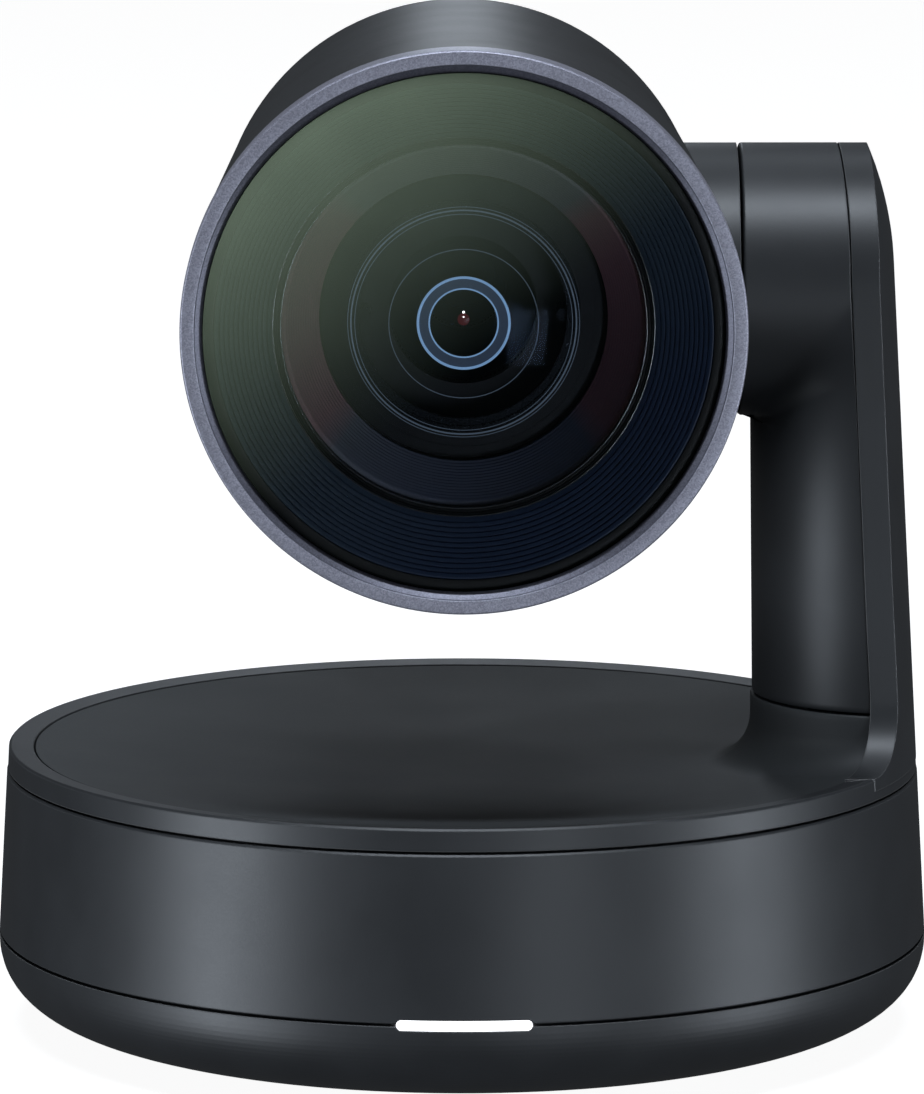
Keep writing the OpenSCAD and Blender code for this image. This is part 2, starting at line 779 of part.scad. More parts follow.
module lens_barrel() {
    color([0.1, 0.1, 0.11]) at_tilt() difference() {
        along_y() union() {
            tube(29.4, lens_bore, -45.9, -45);
            tube(lens_tube, lens_bore, -46, 22);
            tube(lens_bore + 1, 18.3, -45.9, -44.2);
        }
        box([-3.4, -40, 10], [3.4, -12, 40]);
        box([-3.4, -14, -40], [3.4, 5, -10]);
    }
}

module head_frame() {
    color([0.62, 0.63, 0.65]) at_tilt() difference() {
        along_y() union() {
            tube(barrel(-45) - wall_t - 0.1, lens_tube, -45, -42);
            for (x = [-19.5, 19.5], z = [-19.5, 19.5]) translate([x, z, -43]) cylinder(r = 2, h = 65);
        }
        for (z = [drive_z, -drive_z]) translate([0, -50, z]) along_y() cylinder(r = rod_r, h = 20);
    }
}

module iris_ring() {
    color([0.08, 0.08, 0.09]) at_tilt() along_y() tube(lens_bore - 0.1, 5.4, 5.4, 6.6);
}

module rear_lens() {
    color([0.1, 0.1, 0.11]) at_tilt() along_y() tube(lens_bore - 0.1, 9, 8.6, 13);
    color([0.3, 0.4, 0.6, 0.5]) at_tilt() along_y() translate([0, 0, 9]) cylinder(r = 9, h = 3.6);
}

module guide_rods() {
    color([0.75, 0.76, 0.78]) at_tilt() for (x = [-rod_x, rod_x])
        translate([x, -44.1, 0]) along_y() cylinder(r = rod_r, h = 49.4);
}

module linear_drive(z, y0, y1, rod_to) {
    at_tilt() {
        box([-4, y0, min(z - 3, z + 3)], [4, y1, max(z - 3, z + 3)]);
        translate([0, rod_to, z]) along_y() cylinder(r = rod_r, h = y0 - rod_to);
    }
}

module zoom_drive() {
    color([0.45, 0.46, 0.5]) linear_drive(drive_z, -11.5, 0, -44);
}

module focus_drive() {
    color([0.45, 0.46, 0.5]) linear_drive(-drive_z, 5.6, 16, -44);
}

// A lens carriage that runs on both guide rods, with an arm out to its drive rod
module carriage(y, lens_r, side) {
    at_tilt() difference() {
        union() {
            along_y() tube(lens_bore - 0.4, lens_r, y[0], y[1]);
            box([-2.8, y[0], min(side * 17, side * 30)], [2.8, y[1], max(side * 17, side * 30)]);
        }
        for (x = [-rod_x, rod_x]) translate([x, -60, 0]) along_y() cylinder(r = rod_r + run_fit, h = 90);
        translate([0, -60, side * drive_z]) along_y() cylinder(r = rod_r + run_fit, h = 90);
    }
}

module zoom_carriage() {
    color([0.12, 0.12, 0.13]) carriage(zoom_y, 11.7, 1);
}

module zoom_lens() {
    color([0.3, 0.35, 0.5, 0.5]) lens(11.7, zoom_y[0] + 1, 5, 40, 60);
}

module focus_carriage() {
    color([0.12, 0.12, 0.13]) carriage(focus_y, 7.1, -1);
}

module focus_lens() {
    color([0.2, 0.4, 0.8, 0.5]) lens(7.1, focus_y[0] + 1, 4, 22, 30);
}

module sensor_board() {
    color([0.1, 0.3, 0.16]) at_tilt() box([-23, 22, -23], [23, 23.6, 23]);
}

module image_sensor() {
    color([0.2, 0.2, 0.25]) at_tilt() box([-8, 20.4, -6], [8, 22, 6]);
}

module head_board() {
    color([0.1, 0.3, 0.16]) at_tilt() along_y() translate([0, 0, 33]) cylinder(r = 34, h = 1.6);
    color([0.6, 0.61, 0.63]) at_tilt() for (x = [-19.5, 19.5], z = [-19.5, 19.5])
        translate([x, 23.6, z]) along_y() cylinder(r = 2, h = 9.4);
}

module heat_sink() {
    color([0.35, 0.36, 0.38]) at_tilt() {
        box([-22, 34.6, -18], [22, 36.6, 18]);
        for (x = [-21:4.2:21]) box([x - 0.6, 36.6, -18], [x + 0.6, 45, 18]);
    }
}

module tilt_axle() {
    color([0.7, 0.71, 0.73]) at_tilt() along_x() difference() {
        union() {
            translate([0, 0, boss_face - wall_t - 2.5]) cylinder(r = 12, h = 2.5);
            translate([0, 0, boss_face - wall_t - 2.5]) cylinder(r = axle_r, h = 62.4 - boss_face + wall_t + 2.5);
        }
        translate([0, 0, 30]) cylinder(r = 4.5, h = 40);
    }
}

module tilt_gear() {
    color([0.9, 0.89, 0.84]) at_tilt() along_x() difference() {
        union() {
            translate([0, 0, 49]) linear_extrude(4) gear_2d(tilt_teeth, tilt_mod);
            translate([0, 0, 48.2]) cylinder(r = 10, h = 5.4);
        }
        translate([0, 0, 40]) cylinder(r = axle_r, h = 30);
    }
}

module axle_clip() {
    color([0.3, 0.3, 0.32]) at_tilt() along_x() difference() {
        tube(10, axle_r, 60.4, 61.4);
        box([-2, 6.9, 60], [2, 12, 62]);
    }
}

// ---------------------------------------------------------------- nodes

base_bowl();
base_body();
foot_ring();
tripod_insert();
light_bar();
light_board();
port_panel();
io_board();
power_jack();
usb_port();
hdmi_port();
network_port();
main_board();
base_chassis();
base_screws();
pan_bearing();
pan_motor();
pan_pinion();
yoke_shell();
deck_cover();
arm_cover();
turntable();
pan_gear();
hub_nut();
deck_screws();
arm_frame();
tilt_bearing();
tilt_motor();
arm_board();
arm_ribbon();
tilt_pinion();
head_shell();
rear_cap();
cap_screws();
bezel_ring();
front_glass();
baffle_ring();
trim_ring();
ribbed_hood();
front_element();
lens_retainer();
lens_barrel();
head_frame();
iris_ring();
rear_lens();
guide_rods();
zoom_drive();
focus_drive();
sensor_board();
image_sensor();
head_board();
heat_sink();
tilt_axle();
tilt_gear();
axle_clip();
zoom_carriage();
zoom_lens();
focus_carriage();
focus_lens();
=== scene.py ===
import json
import math

import bmesh
import bpy
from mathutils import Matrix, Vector


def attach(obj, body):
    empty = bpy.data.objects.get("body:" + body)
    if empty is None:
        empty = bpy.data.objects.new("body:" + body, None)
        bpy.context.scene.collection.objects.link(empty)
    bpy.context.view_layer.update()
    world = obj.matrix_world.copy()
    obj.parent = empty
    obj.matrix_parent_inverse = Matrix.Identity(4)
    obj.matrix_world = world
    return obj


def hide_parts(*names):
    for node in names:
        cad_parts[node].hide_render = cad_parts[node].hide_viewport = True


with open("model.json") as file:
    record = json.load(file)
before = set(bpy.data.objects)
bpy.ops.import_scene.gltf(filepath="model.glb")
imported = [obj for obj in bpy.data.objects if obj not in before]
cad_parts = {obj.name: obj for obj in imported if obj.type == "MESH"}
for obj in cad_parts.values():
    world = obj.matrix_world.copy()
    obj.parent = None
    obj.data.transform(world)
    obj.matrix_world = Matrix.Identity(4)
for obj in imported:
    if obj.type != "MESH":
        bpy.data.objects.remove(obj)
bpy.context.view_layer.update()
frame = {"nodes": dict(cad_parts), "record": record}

MM = 0.001

# ---------------------------------------------------------------- measures in millimetres

# Tilt axis height, and the front face of the bezel
TILT_Z = 122.6
BEZEL_Y = -67.0

# Outer surface: a tapered wall from the seam up, closed by a dome at the arm's top
SEAM_Z = 16.0
WALL_R = 75.93
TAPER = 0.054
SLOPE = math.sqrt(1 + TAPER * TAPER)
DOME_Z = 126.0
DOME_R = 54.6
DOME_CX = WALL_R - TAPER * (DOME_Z - SEAM_Z) - DOME_R / SLOPE
DOME_CZ = DOME_Z - DOME_R * TAPER / SLOPE

# Arm: a round column that leans in towards its foot and grows into the drum
SHELL_IN = 4.25
ARM_R = 23.2
ARM_LEFT = 47.2
ARM_X = ARM_LEFT + ARM_R
ARM_INSET = 0.3
LEAN = 0.0125
LEAN_TOP = 100
GROW_Z = 72.0
DRUM_R = 22.1
DRUM_FACE = 44.8
DRUM_EDGE = 0.45
FOOT_TOP = 54.8
SEAM_GAP = 0.25

# Deck: a shallow dish, with a fillet up to the arm's foot that is smaller at the sides
DISH_LOW = 41.2
DISH_R = 499.9
DECK_R = 69.8
DECK_UNDER = 39.6
DECK_EDGE = 1.5
FOOT_WALL = 1.6
FILLET = 7.6
FILLET_LOSS = 2.2

# ---------------------------------------------------------------- camera, floor and lights

AIM_Z = 0.086
CAMERA_LENS = 242.2
CAMERA_DISTANCE = 1.2
CAMERA_ELEVATION = math.radians(9.05)
CAMERA_DIP = math.radians(0.353)
CAMERA_AZIMUTH = math.radians(0.28)
FLOOR_HALF = 8.0
AMBIENT = 0.045
BACKDROP = 0.95


def make_camera():
    data = bpy.data.cameras.new("camera")
    data.lens = CAMERA_LENS
    camera = bpy.data.objects.new("camera", data)
    reach = CAMERA_DISTANCE * math.cos(CAMERA_ELEVATION)
    camera.location = (
        -reach * math.sin(CAMERA_AZIMUTH),
        -reach * math.cos(CAMERA_AZIMUTH),
        AIM_Z + CAMERA_DISTANCE * math.sin(CAMERA_ELEVATION),
    )
    camera.rotation_euler = (math.pi / 2 - CAMERA_ELEVATION - CAMERA_DIP, 0, -CAMERA_AZIMUTH)
    bpy.context.scene.collection.objects.link(camera)
    bpy.context.scene.camera = camera


def area_light(name, azimuth, elevation, distance, size, power, colour=(1, 1, 1)):
    """A softbox round the object: azimuth 0 is the camera's side, positive to the right."""
    data = bpy.data.lights.new(name, "AREA")
    data.shape = "RECTANGLE"
    data.size, data.size_y = size
    data.energy = power
    data.color = colour
    light = bpy.data.objects.new(name, data)
    az, el = math.radians(azimuth), math.radians(elevation)
    away = Vector((math.sin(az) * math.cos(el), -math.cos(az) * math.cos(el), math.sin(el)))
    light.location = Vector((0, 0, AIM_Z)) + away * distance
    light.rotation_euler = (-away).to_track_quat("-Z", "Y").to_euler()
    light.visible_camera = False
    bpy.context.scene.collection.objects.link(light)


def new_material(name):
    mat = bpy.data.materials.new(name)
    mat.use_nodes = True
    return mat, mat.node_tree


def light_up(shader, colour, strength):
    shader.inputs["Emission Color"].default_value = (*colour, 1)
    shader.inputs["Emission Strength"].default_value = strength


def make_floor():
    mat, tree = new_material("floor")
    shader = tree.nodes["Principled BSDF"]
    shader.inputs["Base Color"].default_value = (0.3, 0.3, 0.3, 1)
    shader.inputs["Roughness"].default_value = 0.9
    shader.inputs["Specular IOR Level"].default_value = 0.0
    light_up(shader, (1, 1, 1), 0.94)
    mesh = bpy.data.meshes.new("floor")
    corners = [(-1, -1), (1, -1), (1, 1), (-1, 1)]
    mesh.from_pydata([(FLOOR_HALF * x, FLOOR_HALF * y, 0) for x, y in corners], [], [(0, 1, 2, 3)])
    mesh.materials.append(mat)
    floor = bpy.data.objects.new("floor", mesh)
    bpy.context.scene.collection.objects.link(floor)
    floor.visible_glossy = False
    floor.visible_diffuse = False
    floor.visible_shadow = False


def make_studio():
    """A dim room with softboxes; the camera alone sees a bright backdrop."""
    world = bpy.data.worlds.new("studio")
    world.use_nodes = True
    nodes, links = world.node_tree.nodes, world.node_tree.links
    path = nodes.new("ShaderNodeLightPath")
    mix = nodes.new("ShaderNodeMix")
    mix.inputs["A"].default_value = AMBIENT
    mix.inputs["B"].default_value = BACKDROP
    links.new(path.outputs["Is Camera Ray"], mix.inputs["Factor"])
    nodes["Background"].inputs["Color"].default_value = (1, 1, 1, 1)
    links.new(mix.outputs["Result"], nodes["Background"].inputs["Strength"])
    bpy.context.scene.world = world
    bpy.context.scene.view_settings.view_transform = "Standard"
    cool = (0.82, 0.9, 1.0)
    area_light("left_box", -60, -13, 1.3, (0.44, 0.9), 12, cool)
    area_light("front_box", 21, -11, 1.1, (0.24, 0.34), 1.5, cool)
    area_light("right_box", 71, -8, 1.3, (0.42, 0.9), 8.5, cool)
    area_light("top_box", 0, 70, 1.3, (0.9, 0.26), 15, cool)
    area_light("back_box", 180, 23, 0.6, (0.08, 0.14), 0.12, cool)
    area_light("rear_fill", 180, 55, 1.5, (1.0, 0.4), 2.0, cool)


# ---------------------------------------------------------------- material tools

def add(tree, kind, inputs=None, **settings):
    """A shader node with its settings; an input is a value, or a socket to link from."""
    made = tree.nodes.new("ShaderNode" + kind)
    for key, value in settings.items():
        setattr(made, key, value)
    for key, value in (inputs or {}).items():
        if isinstance(value, bpy.types.NodeSocket):
            tree.links.new(value, made.inputs[key])
        else:
            made.inputs[key].default_value = value
    return made


def place_of(tree):
    return add(tree, "TexCoord").outputs["Object"]


def noise(tree, place, size_mm, detail=2.0, roughness=0.5):
    """Noise whose features are about size_mm across."""
    return add(
        tree, "TexNoise",
        {"Vector": place, "Scale": 1 / (size_mm * MM), "Detail": detail, "Roughness": roughness},
    ).outputs["Fac"]


def span(tree, value, low, high, start=0.3, end=0.7):
    return add(
        tree, "MapRange",
        {"Value": value, "From Min": start, "From Max": end, "To Min": low, "To Max": high},
    ).outputs["Result"]


def blend(tree, factor, a, b):
    mix = add(tree, "Mix", data_type="RGBA")
    for index, value in ((0, factor), (6, a), (7, b)):
        if isinstance(value, bpy.types.NodeSocket):
            tree.links.new(value, mix.inputs[index])
        else:
            mix.inputs[index].default_value = value if index == 0 else (*value, 1)
    return mix.outputs[2]


def math_of(tree, operation, a, b=0.0, clamp=False):
    made = add(tree, "Math", operation=operation, use_clamp=clamp)
    for index, value in ((0, a), (1, b)):
        if isinstance(value, bpy.types.NodeSocket):
            tree.links.new(value, made.inputs[index])
        else:
            made.inputs[index].default_value = value
    return made.outputs[0]


def surface(name, colour, roughness, metallic=0.0, grain=0.3, bump=0.12, mottle=0.08,
            patch=14.0, swing=0.04, specular=0.5, soft_edge=0.0, painted_edge_highlight=0.0, speckle=0.0):
    """Moulded or machined finish: broad mottle, fine grain, uneven gloss and a fine relief.
    Sizes are in millimetres; soft_edge rounds the shading of sharp edges by that radius, and
    the edge highlight tone is a painted highlight, a lighter colour laid along those edges."""
    mat, tree = new_material(name)
    shader = tree.nodes["Principled BSDF"]
    place = place_of(tree)
    broad = noise(tree, place, patch, 3.0)
    fine = noise(tree, place, grain, 2.0, 0.6)
    dark = [c * (1 - mottle) for c in colour]
    light = [c * (1 + mottle) for c in colour]
    tint = blend(tree, span(tree, broad, 0, 1), dark, light)
    if speckle:
        flake = add(
            tree, "TexVoronoi", {"Vector": place, "Scale": 1 / (grain * MM)}, feature="F1"
        ).outputs["Color"]
        value = add(tree, "SeparateColor", {"Color": flake}).outputs["Red"]
        low = [c * (1 - speckle) for c in colour]
        high = [min(1.0, c * (1 + speckle)) for c in colour]
        tint = blend(tree, 0.65, tint, blend(tree, value, low, high))
    if soft_edge:
        edge = add(tree, "Bevel", {"Radius": soft_edge * MM}, samples=6).outputs["Normal"]
    # Painted highlight: where the bevelled normal turns from the face's normal, the colour is mixed
    # towards a lighter grey.
    if painted_edge_highlight:
        face = add(tree, "NewGeometry").outputs["Normal"]
        turn = add(tree, "VectorMath", {0: edge, 1: face}, operation="DOT_PRODUCT").outputs["Value"]
        tint = blend(tree, span(tree, turn, 1, 0, 0.72, 0.97), tint, [painted_edge_highlight] * 3)
    tree.links.new(tint, shader.inputs["Base Color"])
    gloss = math_of(tree, "ADD", span(tree, fine, roughness - swing / 2, roughness + swing / 2),
                    span(tree, broad, -swing / 2, swing / 2))
    tree.links.new(gloss, shader.inputs["Roughness"])
    shader.inputs["Metallic"].default_value = metallic
    shader.inputs["Specular IOR Level"].default_value = specular
    relief = add(
        tree, "Bump",
        {"Strength": bump, "Distance": grain * MM * 0.25, "Height": fine},
    )
    if soft_edge:
        tree.links.new(edge, relief.inputs["Normal"])
    tree.links.new(relief.outputs["Normal"], shader.inputs["Normal"])
    return mat


def toward_painted_glow(tree, radius_mm):
    """How far a point lies to the upper left of the lens axis: 1 at radius_mm, -1 opposite; it
    places the painted glow on the lens parts.
    """
    split = add(tree, "SeparateXYZ", {"Vector": place_of(tree)})
    left = math_of(tree, "MULTIPLY", split.outputs["X"], -0.6 / (radius_mm * MM))
    up = math_of(tree, "SUBTRACT", split.outputs["Z"], TILT_Z * MM)
    up = math_of(tree, "MULTIPLY", up, 0.8 / (radius_mm * MM))
    return math_of(tree, "ADD", left, up)


def coated_glass(name, clear, sheen, painted_glow_colour, painted_glow_share, radius_mm, power=3.0, offset=0.0,
                 roughness=0.03, ior=1.5):
    """Thin coated glass: clear through, a coloured sheen, and a painted reflection towards the
    upper left, a pale diffuse veil mixed in there.
    """
    mat, tree = new_material(name)
    tree.nodes.remove(tree.nodes["Principled BSDF"])
    out = tree.nodes["Material Output"]
    smear = noise(tree, place_of(tree), 9.0, 4.0)
    through = add(tree, "BsdfTransparent", {"Color": (*clear, 1)})
    shine = add(tree, "BsdfGlossy", {
        "Color": (*sheen, 1), "Roughness": span(tree, smear, roughness * 0.6, roughness * 1.6),
    })
    fresnel = add(tree, "Fresnel", {"IOR": ior}).outputs["Fac"]
    pane = add(tree, "MixShader", {0: fresnel, 1: through.outputs[0], 2: shine.outputs[0]})
    # Painted reflection: a mask that grows towards the upper left mixes in the pale veil.
    glow = math_of(tree, "ADD", toward_painted_glow(tree, radius_mm), offset)
    glow = math_of(tree, "MAXIMUM", math_of(tree, "DIVIDE", glow, 1 + offset), 0.0)
    glow = math_of(tree, "POWER", glow, power)
    glow = math_of(tree, "MULTIPLY", glow, span(tree, smear, painted_glow_share * 0.94, painted_glow_share * 1.06))
    painted_glow_veil = add(tree, "BsdfDiffuse", {"Color": (*painted_glow_colour, 1)})
    whole = add(tree, "MixShader", {0: glow, 1: pane.outputs[0], 2: painted_glow_veil.outputs[0]})
    tree.links.new(whole.outputs[0], out.inputs["Surface"])
    return mat


def lens_radius(tree):
    split = add(tree, "SeparateXYZ", {"Vector": place_of(tree)})
    across = math_of(tree, "MULTIPLY", split.outputs["X"], split.outputs["X"])
    up = math_of(tree, "SUBTRACT", split.outputs["Z"], TILT_Z * MM)
    return math_of(tree, "SQRT", math_of(tree, "ADD", across, math_of(tree, "MULTIPLY", up, up)))


def painted_shade_by_radius(mat, radius, inside, outside):
    """Multiplies a finish's colour by one shade inside radius (mm) and another outside; it paints
    shade on the lens parts.
    """
    tree = mat.node_tree
    shader = tree.nodes["Principled BSDF"]
    before = shader.inputs["Base Color"].links[0].from_socket
    share = span(tree, lens_radius(tree), 0, 1, (radius - 0.05) * MM, (radius + 0.05) * MM)
    shade = blend(tree, share, inside, outside)
    mix = add(tree, "Mix", data_type="RGBA", blend_type="MULTIPLY")
    mix.inputs[0].default_value = 1.0
    tree.links.new(before, mix.inputs[6])
    tree.links.new(shade, mix.inputs[7])
    tree.links.new(mix.outputs[2], shader.inputs["Base Color"])
    return mat


def lens_ring_paint(name, low, high, roughness, side_tint=None, grain=0.25, glow=0.0,
                    metallic=0.0, radius_mm=38.0, bump=0.1):
    """A lens part with painted light: its colour turns from low at the lower right to high at the
    upper left, a painted glow strongest at the upper left; side_tint is a share and a colour for
    its left and right thirds, and glow makes it shine in the high colour though it is no lamp."""
    mat = surface(name, low, roughness, grain=grain, bump=bump, metallic=metallic)
    tree = mat.node_tree
    shader = tree.nodes["Principled BSDF"]
    toward = span(tree, toward_painted_glow(tree, radius_mm), 0, 1, -0.7, 1.0)
    fine = noise(tree, place_of(tree), grain, 2.0)
    colour = blend(tree, toward, low, high)
    if side_tint:
        split = add(tree, "SeparateXYZ", {"Vector": place_of(tree)})
        side = math_of(tree, "ABSOLUTE", split.outputs["X"])
        height = math_of(tree, "SUBTRACT", split.outputs["Z"], (TILT_Z + 1.5) * MM)
        slope = math_of(tree, "DIVIDE", math_of(tree, "ABSOLUTE", height), side)
        colour = blend(tree, span(tree, slope, side_tint[0], 0, 0.75, 1.05), colour, side_tint[1])
    colour = blend(tree, span(tree, fine, 0, 0.3), colour, [c * 0.5 for c in low])
    tree.links.new(colour, shader.inputs["Base Color"])
    # Painted glow: the part gives off light in its high colour, though it is no lamp.
    if glow:
        light_up(shader, high, glow)
    return mat


def make_materials():
    made = {}
    slate = (0.021, 0.0225, 0.0245)
    # The shell's edges carry a painted highlight, a lighter grey along them.
    made["slate_shell"] = surface("slate_shell", slate, 0.44, soft_edge=0.3, grain=0.28,
                                  bump=0.1, painted_edge_highlight=0.16)
    made["slate_deck"] = surface("slate_deck", (0.025, 0.0275, 0.029), 0.6, soft_edge=0.3,
                                 grain=0.25, bump=0.2)
    made["black_plastic"] = surface("black_plastic", (0.012, 0.012, 0.013), 0.5, soft_edge=0.2)
    made["foot_rubber"] = surface("foot_rubber", (0.011, 0.011, 0.011), 0.85, grain=0.5, bump=0.4,
                                  mottle=0.2, specular=0.3)
    made["bezel_metal"] = surface("bezel_metal", (0.32, 0.318, 0.38), 0.42, metallic=0.55,
                                  grain=0.2, bump=0.25, speckle=0.38, mottle=0.05)
    made["bright_metal"] = surface("bright_metal", (0.62, 0.63, 0.65), 0.2, metallic=1.0, grain=0.4)
    made["steel"] = surface("steel", (0.42, 0.43, 0.45), 0.32, metallic=1.0, grain=0.3)
    made["cast_frame"] = surface("cast_frame", (0.35, 0.36, 0.37), 0.55, metallic=0.8, grain=0.8,
                                 bump=0.5, mottle=0.15)
    made["brass"] = surface("brass", (0.6, 0.42, 0.16), 0.3, metallic=1.0, grain=0.3)
    made["white_nylon"] = surface("white_nylon", (0.72, 0.71, 0.66), 0.5, grain=0.5)
    made["motor_steel"] = surface("motor_steel", (0.33, 0.34, 0.36), 0.38, metallic=1.0, grain=0.5)
    made["circuit_board"] = surface("circuit_board", (0.02, 0.11, 0.05), 0.4, grain=0.9, patch=3.0,
                                    mottle=0.45, bump=0.3)
    made["ribbon_film"] = surface("ribbon_film", (0.5, 0.24, 0.06), 0.35, grain=0.5, mottle=0.2)
    made["sensor_silicon"] = surface("sensor_silicon", (0.03, 0.03, 0.06), 0.15, metallic=0.6,
                                     grain=0.1, speckle=0.4)
    bar = surface("light_diffuser", (0.85, 0.87, 0.9), 0.5, grain=0.4)
    light_up(bar.node_tree.nodes["Principled BSDF"], (0.96, 0.97, 1.0), 2.2)
    made["light_diffuser"] = bar
    # Both glasses carry a painted reflection towards the upper left: greenish on the front glass,
    # blue on the lens glass.
    made["clear_glass"] = coated_glass(
        "clear_glass", (0.95, 0.96, 0.97), (0.12, 0.17, 0.16), (0.56, 0.68, 0.46), 0.24, 40.0,
        power=1.6, offset=0.15)
    made["lens_glass"] = coated_glass(
        "lens_glass", (0.95, 0.96, 0.98), (0.05, 0.065, 0.09), (0.3, 0.5, 0.66), 0.06, 22.0,
        power=1.5, offset=0.5)
    # Painted shade: inside 41.45 mm, the bezel's inner chamfer and wall are darkened to 0.3 of
    # their colour.
    made["bezel_metal"] = painted_shade_by_radius(made["bezel_metal"], 41.45, (0.3, 0.3, 0.32), (1, 1, 1))
    # Painted light on the baffle: navy at the lower right turning greenish grey towards the upper
    # left.
    baffle = lens_ring_paint("baffle", (0.05, 0.085, 0.18), (0.15, 0.2, 0.15), 0.45)
    # Painted shadow: outside 38.4 mm, the baffle's flat front ring in the gap behind the bezel is
    # made nearly black.
    made["baffle"] = painted_shade_by_radius(baffle, 38.4, (1, 1, 1), (0.01, 0.01, 0.01))
    # Painted light on the hood: lighter towards the upper left, darker and bluer towards the lower
    # right; its left and right thirds are tinted reddish.
    made["hood"] = lens_ring_paint("hood", (0.2, 0.23, 0.34), (0.34, 0.34, 0.3), 0.42,
                                   side_tint=(0.65, (0.6, 0.22, 0.24)), radius_mm=27.0)
    made["barrel_black"] = surface("barrel_black", (0.006, 0.007, 0.009), 0.5, grain=0.3)
    made["dark_metal"] = surface("dark_metal", (0.03, 0.034, 0.04), 0.28, metallic=0.85, grain=0.4)
    # Painted reflections: these blues stand for the lens elements' edges mirrored in the glass, and
    # glow though they are no lamps.
    made["ring_blue"] = lens_ring_paint("ring_blue", (0.05, 0.075, 0.12), (0.16, 0.22, 0.3), 0.3,
                                        glow=0.3, radius_mm=18.0, metallic=0.3)
    made["core_blue"] = lens_ring_paint("core_blue", (0.1, 0.2, 0.34), (0.14, 0.25, 0.42), 0.3,
                                        glow=1.1, radius_mm=7.0, metallic=0.2)
    made["band_blue"] = lens_ring_paint("band_blue", (0.02, 0.03, 0.05), (0.03, 0.05, 0.09), 0.35,
                                        glow=0.5, radius_mm=7.0, grain=0.6)
    # The pupil's dark red dot is given a painted glow, though it is no lamp.
    made["pupil_red"] = lens_ring_paint("pupil_red", (0.09, 0.006, 0.012), (0.12, 0.01, 0.018),
                                        0.3, glow=0.3, radius_mm=1.0, grain=0.2)
    # Painted highlights: small glints that glow on their own, though they are no lamps.
    made["glint"] = lens_ring_paint("glint", (0.8, 0.85, 0.9), (1, 1, 1), 0.3, glow=2.5,
                                    radius_mm=1.0, grain=0.1)
    return made


# ---------------------------------------------------------------- mesh tools

SAME_POINT = 1e-6
NO_LENGTH = 1e-7


def make_piece(name, points, faces, sharp=38.0):
    """A smooth-shaded object from points in millimetres; edges sharper than sharp stay crisp."""
    bm = bmesh.new()
    made = [bm.verts.new([c * MM for c in p]) for p in points]
    for face in faces:
        bm.faces.new([made[i] for i in face])
    bmesh.ops.remove_doubles(bm, verts=bm.verts, dist=SAME_POINT)
    bmesh.ops.dissolve_degenerate(bm, edges=bm.edges, dist=NO_LENGTH)
    bmesh.ops.recalc_face_normals(bm, faces=bm.faces)
    limit = math.radians(sharp)
    for edge in bm.edges:
        edge.smooth = edge.calc_face_angle(0.0) < limit
    for face in bm.faces:
        face.smooth = True
    mesh = bpy.data.meshes.new(name)
    bm.to_mesh(mesh)
    bm.free()
    obj = bpy.data.objects.new(name, mesh)
    bpy.context.scene.collection.objects.link(obj)
    return obj


def rounded(profile, radius, steps=3):
    """The closed profile with each corner cut by a small curve, at most radius from the corner."""
    out = []
    count = len(profile)
    for i in range(count):
        before, here, after = (Vector(profile[(i + k) % count]) for k in (-1, 0, 1))
        back, ahead = before - here, after - here
        reach = min(radius, 0.42 * back.length, 0.42 * ahead.length)
        start, end = here + back.normalized() * reach, here + ahead.normalized() * reach
        for k in range(steps + 1):
            t = k / steps
            out.append(tuple(start * (1 - t) ** 2 + here * (2 * t * (1 - t)) + end * t ** 2))
    return out


def grid_faces(rows, size, closed=False):
    """Faces between rows of size points each; every row is a loop, and closed joins the rows."""
    faces = []
    for i in range(rows if closed else rows - 1):
        here, there = i * size, (i + 1) % rows * size
        for k in range(size):
            m = (k + 1) % size
            faces.append((here + k, here + m, there + m, there + k))
    return faces


def ring_round(name, profile, to_point, count=224, sharp=38.0):
    """A closed profile turned round an axis; to_point places (a, b, turn) in millimetres."""
    points = []
    for i in range(count):
        turn = 2 * math.pi * i / count
        points += [to_point(a, b, turn) for a, b in profile]
    return make_piece(name, points, grid_faces(count, len(profile), closed=True), sharp)


def lens_point(radius, depth, turn):
    return (radius * math.cos(turn), BEZEL_Y + depth, TILT_Z + radius * math.sin(turn))


def dress(obj, material, body, slot_name, *nodes):
    obj.data.materials.clear()
    obj.data.materials.append(material)
    if nodes:
        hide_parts(*nodes)
    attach(obj, body)


# ---------------------------------------------------------------- shape of the arm and deck

def skin(z, inset):
    """Radius of the outer surface at height z, moved in by inset."""
    if z > DOME_CZ + (DOME_R - inset) * TAPER / SLOPE:
        return DOME_CX + math.sqrt(max(0.0, (DOME_R - inset) ** 2 - (z - DOME_CZ) ** 2))
    return WALL_R - TAPER * (z - SEAM_Z) - inset * SLOPE


def smooth_max(a, b, width):
    if width < 1e-6:
        return max(a, b)
    overlap = max(0.0, width - abs(a - b)) / width
    return max(a, b) + overlap * overlap * width / 4


def arm_left(z):
    """The column leans in a little towards its foot."""
    return ARM_LEFT - ARM_INSET + LEAN * (LEAN_TOP - min(z, LEAN_TOP))


def drum_half_width(x, z):
    """Half the drum's width in Y, with its rim rounded where it meets the head's boss."""
    into = max(0.0, x - DRUM_FACE)
    radius = DRUM_R
    if into < DRUM_EDGE:
        radius -= DRUM_EDGE - math.sqrt(DRUM_EDGE ** 2 - (DRUM_EDGE - into) ** 2)
    return math.sqrt(max(0.0, radius ** 2 - (z - TILT_Z) ** 2))


def arm_half_width(x, z):
    """Half the arm's width in Y: a round column that grows into the drum."""
    drum = drum_half_width(x, z)
    if z >= TILT_Z:
        return drum
    side = ARM_R - max(0.0, (z - GROW_Z) / (TILT_Z - GROW_Z)) * (ARM_R - DRUM_R)
    along = x - arm_left(z) - ARM_R
    column = min(math.sqrt(max(0.0, ARM_R ** 2 - along ** 2)), side)
    if column < 1e-6:
        return drum
    width = 5.0 * min(1.0, (TILT_Z - z) / 14) * min(1.0, drum / 8)
    return smooth_max(drum, column, width)


